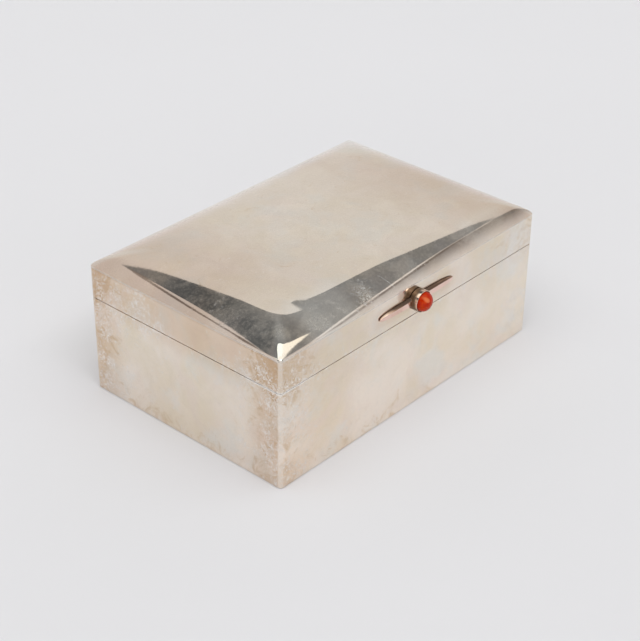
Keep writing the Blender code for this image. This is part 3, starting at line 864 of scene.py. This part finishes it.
ends = times(tree, rise(tree, uneven, BROWN_FROM, half_width), browned)
colour = blend(tree, ends, patina["Color"], END_BROWN, "MULTIPLY")
colour = blend(tree, times(tree, haze_and_glow, 0.5), colour, HAZE_GLOW_WHITE)
scratch_rise = less(tree, y, SCRATCH_PLACE[1])
scratch_off = mul_add(tree, scratch_rise, SCRATCH_LEAN, less(tree, x, SCRATCH_PLACE[0]))
scratch = times(tree, band(tree, scratch_off, *SCRATCH_STRIPE), band(tree, y, *SCRATCH_LENGTH_STRIPE))
metal = mul_add(tree, scratch, -0.22, patina["Metal"])
fill(
    tree,
    shader,
    Base_Color=blend(tree, times(tree, scratch, 0.8), colour, SCUFF_WHITE),
    Metallic=less(tree, metal, glow_veil),
)
dome = dome_piece("dome", dome_silver)
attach(dome, "lid")
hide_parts("lid_dome")


# Cedar lining: planed boards let into the body and the lid. The body's wall boards stand proud of the seam
# as a lip, with eased tops, and the lid closes over them.
CEDAR_LIGHT = (0.40, 0.205, 0.105)
CEDAR_DARK = (0.23, 0.098, 0.045)
CEDAR_VEIN = (0.15, 0.058, 0.028)
RING_NOISE = (7.0, 4.0, 0.55, 0.6)
VEIN_NOISE = (32.0, 3.0, 0.6, 0.2)
PORE_NOISE = (130.0, 2.0, 0.6)
GRAIN_STRETCH = 14.0
CEDAR_RELIEF = 0.0001
BOARD_EASE = 0.0005
BOARD_STEPS = 5
FACE_TILT = 0.48
SHARP_ANGLE = math.radians(50)


def cedar_finish(name, along):
    """Planed cedar with its grain along one axis: rings stretched along the board, fine pores and veins."""
    made, tree, shader = finish_of(name, 0, Specular_IOR_Level=0.25)
    mapping = tree.nodes.new("ShaderNodeMapping")
    scale = [1.0 if axis == along else GRAIN_STRETCH for axis in range(3)]
    fill(tree, mapping, Vector=object_place(tree), Scale=scale)
    stretched = mapping.outputs["Vector"]
    rings = rise(tree, noise(tree, stretched, *RING_NOISE), 0.35, 0.65)
    veins = rise(tree, noise(tree, stretched, *VEIN_NOISE), 0.55, 0.72)
    pores = noise(tree, stretched, *PORE_NOISE)
    colour = blend(tree, rings, CEDAR_LIGHT, CEDAR_DARK)
    colour = blend(tree, times(tree, veins, 0.5), colour, CEDAR_VEIN)
    colour = blend(tree, rise(tree, pores, 0.55, 0.75, 0.0, 0.35), colour, CEDAR_VEIN)
    roughness = rise(tree, pores, 0.3, 0.7, 0.5, 0.68)
    bump = tree.nodes.new("ShaderNodeBump")
    height = mul_add(tree, veins, -0.6, pores)
    fill(tree, bump, Strength=0.6, Distance=CEDAR_RELIEF, Height=height)
    fill(tree, shader, Base_Color=colour, Roughness=roughness, Normal=bump.outputs["Normal"])
    return made


def eased_board(name, low, high, ease, finish):
    """A board with all its edges eased: a rounded plan, drawn in over a quarter circle at each face.

    The plan is a rounded rectangle path. Its radius, and the ring's inset, follow the quarter circle.
    """
    centre = (np.array(low) + np.array(high)) / 2
    half = (np.array(high) - np.array(low)) / 2
    core_x, core_y, core_z = half - ease
    turned = np.linspace(0, 1, BOARD_STEPS)
    angle = np.concatenate([(corner + turned) * math.pi / 2 for corner in range(4)])
    core = np.repeat(np.array([core_x, core_y]) * [[1, 1], [-1, 1], [-1, -1], [1, -1]], BOARD_STEPS, axis=0)
    normal = np.stack([np.cos(angle), np.sin(angle)], -1)
    tilt = np.linspace(-math.pi * FACE_TILT, 0, BOARD_STEPS)
    level = np.concatenate([ease * np.sin(tilt) - core_z, core_z - ease * np.sin(tilt[::-1])])
    reach = ease * np.cos(np.concatenate([tilt, tilt[::-1]]))
    spread = core[None] + normal[None] * reach[:, None, None]
    heights = np.broadcast_to(level[:, None, None], (*spread.shape[:2], 1))
    points = np.concatenate([spread, heights], -1) + centre
    count = len(angle)
    last = (len(level) - 1) * count
    ends = [list(range(count))[::-1], list(range(last, last + count))]
    made = piece_of(name, points, lattice(len(level), count, False, True)[:, ::-1], finish, ends)
    made.data.set_sharp_from_angle(angle=SHARP_ANGLE)
    return made


cedar_across = cedar_finish("cedar_across", 0)
cedar_deep = cedar_finish("cedar_deep", 1)
for prefix, body in (("lining", "box"), ("lid_lining", "lid")):
    for side in ("floor", "panel", "front", "back", "left", "right"):
        node = f"{prefix}_{side}"
        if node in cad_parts:
            grain = cedar_deep if side in ("left", "right") else cedar_across
            cedar_board = eased_board(node + "_board", *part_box(node), BOARD_EASE, grain)
            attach(cedar_board, body)
            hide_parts(node)


# Hinge: silver knuckles soldered by turns to a bearer strip on the box and one on the lid, with a wire pin
# through them all. The bearers' bevels meet and stop the lid when it is open.
PIN_RADIUS = 0.0008
KNUCKLE_EASE = 0.00015
TUBE_STEPS = 5
TURN_STEPS = 64
HINGE_RELIEF = 0.00001


def turned_piece(name, profile, centre, axis, finish):
    """A closed profile of (radius, distance along the axis) points, turned once round the axis."""
    axis = Vector(axis)
    side = axis.orthogonal().normalized()
    other = axis.cross(side)
    angle = np.arange(TURN_STEPS) * math.tau / TURN_STEPS
    round_about = np.outer(np.cos(angle), side) + np.outer(np.sin(angle), other)
    out, along = np.split(np.array(profile), 2, axis=1)
    points = np.array(centre) + round_about[:, None, :] * out + np.array(axis) * along
    return piece_of(name, points, lattice(TURN_STEPS, len(profile), True, True), finish)


def rounded_tube(radius, bore, half, ease):
    """A tube's section with eased outer ends, counted so that the turned faces point outwards."""
    turned = np.linspace(0, math.pi / 2, TUBE_STEPS)
    arc = np.stack([radius - ease + ease * np.cos(turned), half - ease + ease * np.sin(turned)], -1)
    outer = np.concatenate([(arc * [1, -1])[::-1], arc])
    return np.concatenate([outer, [[bore, half], [bore, -half]]])


hinge_silver, tree, shader = finish_of("hinge_silver", 1)
place = object_place(tree)
patina = place_group(tree, tarnish, Place=place, Wear=0.3, Scuffing=0.1, Clouding=1.0, Shine=0.12, Film=0.05)
dress(tree, shader, patina, HINGE_RELIEF)
for node in sorted(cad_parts):
    if "knuckle" in node:
        low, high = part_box(node)
        middle = (low + high) / 2
        section = rounded_tube((high.z - low.z) / 2, PIN_RADIUS, (high.x - low.x) / 2, KNUCKLE_EASE)
        knuckle = turned_piece(node + "_tube", section, middle, (1, 0, 0), hinge_silver)
        knuckle.data.set_sharp_from_angle(angle=SHARP_ANGLE)
        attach(knuckle, "box" if node.startswith("body") else "lid")
        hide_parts(node)
for node in ("body_hinge_bearer", "lid_hinge_bearer", "hinge_pin"):
    refinish(node, hinge_silver)


# Thumbpiece wings: two tapering bars of rose gold with bevelled edges, filed to a blunt point and soldered
# to the lid's front wall on both sides of the bezel. Their upper bevels are painted dark, a painted shade.
WING_LENGTH = 0.0305
WING_HEIGHT = 0.0060
WING_DEPTH = 0.0020
WING_UPPER_BEVEL = 0.525
WING_LOWER_BEVEL = 0.88
WING_NARROWING = 0.22
WING_TIP_POWER = 5.0
WING_TIP = 0.12
WING_EASE = 0.00022
WING_GAP = 0.0001
WING_ROWS = 110
WING_CROWDING = 2.2
WING_SHARP_ANGLE = math.radians(60)
ROSE = (0.87, 0.635, 0.55)
ROSE_DEEP = (0.66, 0.38, 0.30)
ROSE_PAINTED_SHADE = (0.30, 0.185, 0.12)
ROSE_NOISE = (160.0, 4.0, 0.6)
CLOUD_SPAN = (0.4, 0.75)
UNSHADED_TIP = (0.55, 0.80)
CORNER_POINTS = 6

cup_radius = (cup_high.z - cup_low.z) / 2
thumb_back = cup_high.y


def eased_corners(corners, ease, steps):
    """Rounds the corners of closed sections, each by a parabola from shortly before it to shortly after."""
    before = np.roll(corners, 1, axis=-2) - corners
    after = np.roll(corners, -1, axis=-2) - corners
    start = corners + before / np.linalg.norm(before, axis=-1, keepdims=True) * ease
    end = corners + after / np.linalg.norm(after, axis=-1, keepdims=True) * ease
    step = np.linspace(0, 1, steps)[:, None]
    rounded = (1 - step) ** 2 * start[..., None, :] + step**2 * end[..., None, :]
    rounded = rounded + 2 * step * (1 - step) * corners[..., None, :]
    return rounded.reshape(*corners.shape[:-2], -1, corners.shape[-1])


def wing_piece(name, side, finish):
    """A wing from the bezel out to its point.

    Its section is flat at the back and in front, with a low bevel over the front and a steep one under it.
    Outwards the whole section narrows in a straight line, times the root of one less the share of the length
    to the tip power. It starts on the bezel's round wall.
    """
    step = np.linspace(0, 1, WING_ROWS)
    share = (1 - (1 - step) ** WING_CROWDING)[:, None]
    narrowing = (1 - WING_NARROWING * share) * np.sqrt(1 - share**WING_TIP_POWER)
    taper = WING_TIP + (1 - WING_TIP) * narrowing
    depth = WING_DEPTH * taper
    half_back = WING_HEIGHT / 2 * taper
    out = np.concatenate([0 * depth, depth, depth, 0 * depth], -1)
    lower_front = WING_LOWER_BEVEL * depth - half_back
    up = np.concatenate([-half_back, lower_front, half_back - WING_UPPER_BEVEL * depth, half_back], -1)
    ease = WING_EASE * np.sqrt(taper)[..., None]
    section = eased_corners(np.stack([out, up], -1), ease, CORNER_POINTS)
    out, up = section[..., 0], section[..., 1]
    start = np.sqrt((cup_radius + WING_GAP) ** 2 - up**2)
    along = start + (WING_LENGTH - start) * share
    points = np.stack([side * along, thumb_back - out, thumb_height + up], -1)
    faces = lattice(WING_ROWS, points.shape[1], False, True)
    inner = list(range(points.shape[1]))
    outer = [number + (WING_ROWS - 1) * points.shape[1] for number in inner]
    if side < 0:
        faces, ends = faces[:, ::-1], [inner[::-1], outer]
    else:
        ends = [inner, outer[::-1]]
    wing = piece_of(name, points, faces, finish, ends)
    wing.data.set_sharp_from_angle(angle=WING_SHARP_ANGLE)
    # The upper bevel's points are marked for a painted shade, which mostly fades out towards the left wing's
    # tip.
    upper = np.tile(np.repeat([0.0, 0.0, 0.0, 1.0], CORNER_POINTS), (WING_ROWS, 1))
    shaded_share = 1 - np.interp(share, UNSHADED_TIP, (0, 1)) if side < 0 else np.ones_like(share)
    upper[:, 2 * CORNER_POINTS : 3 * CORNER_POINTS] = np.linspace(0, 1, CORNER_POINTS) * shaded_share
    bevel_shade_layer = wing.data.attributes.new("bevel_painted_shade", "FLOAT", "POINT")
    bevel_shade_layer.data.foreach_set("value", upper.ravel())
    return wing


gold_rose, tree, shader = finish_of("rose_gold", 1)
clouds = rise(tree, noise(tree, object_place(tree), *ROSE_NOISE), *CLOUD_SPAN)
attribute = tree.nodes.new("ShaderNodeAttribute")
attribute.attribute_name = "bevel_painted_shade"
# Painted shade: the marked upper bevel is painted dark brown, standing for its dark reflection of the
# ceiling.
bevel_shade_share = times(tree, attribute.outputs["Fac"], rise(tree, clouds, 0.0, 1.0, 0.85, 1.0))
colour = blend(tree, times(tree, clouds, 0.5), ROSE, ROSE_DEEP)
fill(
    tree,
    shader,
    Base_Color=blend(tree, bevel_shade_share, colour, ROSE_PAINTED_SHADE),
    Roughness=rise(tree, clouds, 0.0, 1.0, 0.10, 0.24),
)
for node, side in (("thumb_wing_left", -1), ("thumb_wing_right", 1)):
    wing = wing_piece(node + "_bar", side, gold_rose)
    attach(wing, "lid")
    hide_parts(node)


# Bezel: a short round cup of pale gold, soldered on the lid's front wall. Its thin rim is burnished in over
# the stone, and near the wall it is painted dark brown, a painted shade.
GOLD_PALE = (0.85, 0.655, 0.53)
GOLD_DEEP = (0.56, 0.36, 0.24)
GOLD_PAINTED_SHADE = (0.16, 0.095, 0.055)
GOLD_NOISE = (210.0, 4.0, 0.6)
FOOT_SHADE_REACH_SPAN = (0.0, 0.0050, 0.0042, 0.0030)
FOOT_SHADE_EDGE_SPAN = (0.0004, -0.0010)
FOOT_SHADE_UNEVEN = -0.0012
BEZEL_WALL = 0.00045
BEZEL_FLOOR = 0.0008
BEZEL_FOOT = 0.0001
FOOT_SHARE = 0.97
POLE_RADIUS = 0.00001
RIM_STEPS = 9

bezel_reach = cup_high.y - cup_low.y
rim_turn = np.linspace(0, math.pi, RIM_STEPS)
rim_centre = np.array([cup_radius, bezel_reach]) - BEZEL_WALL / 2
rim_arc = rim_centre + BEZEL_WALL / 2 * np.stack([np.cos(rim_turn), np.sin(rim_turn)], -1)
bezel_section = np.concatenate(
    [
        [[POLE_RADIUS, 0], [cup_radius * FOOT_SHARE, 0]],
        [[cup_radius, BEZEL_FOOT], [cup_radius, bezel_reach / 2]],
        rim_arc,
        [[cup_radius - BEZEL_WALL, BEZEL_FLOOR], [POLE_RADIUS, BEZEL_FLOOR]],
    ]
)
gold_pale, tree, shader = finish_of("pale_gold", 1)
place = object_place(tree)
_, y, z = split(tree, place)
clouds = rise(tree, noise(tree, place, *GOLD_NOISE), *CLOUD_SPAN)
worn = blend(tree, times(tree, clouds, 0.75), GOLD_PALE, GOLD_DEEP)
# Painted shade: the bezel is painted dark brown, less metallic and rougher from the wall out to a few
# millimetres, a little less far on top.
from_wall = mul_add(tree, clouds, FOOT_SHADE_UNEVEN, less(tree, thumb_back, y))
foot_shade_reach = rise(tree, less(tree, z, thumb_height), *FOOT_SHADE_REACH_SPAN)
foot_shade = rise(tree, less(tree, from_wall, foot_shade_reach), *FOOT_SHADE_EDGE_SPAN)
fill(
    tree,
    shader,
    Base_Color=blend(tree, foot_shade, worn, GOLD_PAINTED_SHADE),
    Metallic=rise(tree, foot_shade, 0.0, 1.0, 1.0, 0.55),
    Roughness=rise(tree, foot_shade, 0.0, 1.0, 0.08, 0.3),
)
bezel = turned_piece("bezel", bezel_section, (0, thumb_back, thumb_height), (0, -1, 0), gold_pale)
bezel.data.set_sharp_from_angle(angle=SHARP_ANGLE)
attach(bezel, "lid")
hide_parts("bezel_cup")
refinish("stone_seat", gold_pale)


# Stone: a round carnelian cut as a smooth dome with a flat back. It rests on a seat in the bezel, whose rim
# holds it, and a pale orange patch on its upper left is a painted highlight.
STONE_DEEP = (0.44, 0.016, 0.0)
STONE_GLOW = (0.53, 0.040, 0.0)
STONE_SHADE = (0.23, 0.038, 0.014)
STONE_HIGHLIGHT = (0.76, 0.21, 0.075)
STONE_NOISE = (260.0, 3.0, 0.5, 0.8)
SHADE_SPAN = (0.0005, 0.0075)
SHADE_UNEVEN = 0.002
HIGHLIGHT_PLACE = (-0.0007, 0.0029)
HIGHLIGHT_LEAN = 0.35
HIGHLIGHT_REACH = 0.0019
STONE_BACK = 0.96
STONE_CHAMFER = 0.0002
STONE_STEPS = 40

stone_low, stone_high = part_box("cabochon")
stone_radius = (stone_high.z - stone_low.z) / 2
stone_base = cup_high.y - stone_high.y
stone_crown = cup_high.y - stone_low.y - bezel_reach
rising = np.linspace(0, math.pi / 2, STONE_STEPS)[:-1]
stone_section = np.concatenate(
    [
        [[POLE_RADIUS, stone_base], [stone_radius * STONE_BACK, stone_base]],
        [[stone_radius, stone_base + STONE_CHAMFER]],
        np.stack([stone_radius * np.cos(rising), bezel_reach + stone_crown * np.sin(rising)], -1),
        [[POLE_RADIUS, bezel_reach + stone_crown]],
    ]
)
carnelian, tree, shader = finish_of("carnelian", 0, IOR=1.54, Specular_IOR_Level=0.14)
place = object_place(tree)
x, _, z = split(tree, place)
above_middle = less(tree, z, thumb_height)
veins = noise(tree, place, *STONE_NOISE)
leeward = mul_add(tree, veins, SHADE_UNEVEN, less(tree, x, above_middle))
colour = blend(tree, rise(tree, veins, 0.35, 0.7), STONE_DEEP, STONE_GLOW)
colour = blend(tree, rise(tree, leeward, *SHADE_SPAN), colour, STONE_SHADE)
# Painted highlight: a pale orange patch above the middle and a little to the left stands for the lamp's
# reflection.
across_highlight = mul_add(tree, above_middle, HIGHLIGHT_LEAN, less(tree, x, HIGHLIGHT_PLACE[0]))
up_highlight = less(tree, above_middle, HIGHLIGHT_PLACE[1])
off_highlight = mul_add(tree, up_highlight, up_highlight, times(tree, across_highlight, across_highlight))
clear = rise(tree, off_highlight, HIGHLIGHT_REACH**2, 0.0, 0.0, 0.8)
fill(
    tree,
    shader,
    Base_Color=blend(tree, clear, colour, STONE_HIGHLIGHT),
    Roughness=rise(tree, veins, 0.3, 0.7, 0.05, 0.12),
)
stone = turned_piece("stone", stone_section, (0, thumb_back, thumb_height), (0, -1, 0), carnelian)
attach(stone, "lid")
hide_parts("cabochon")
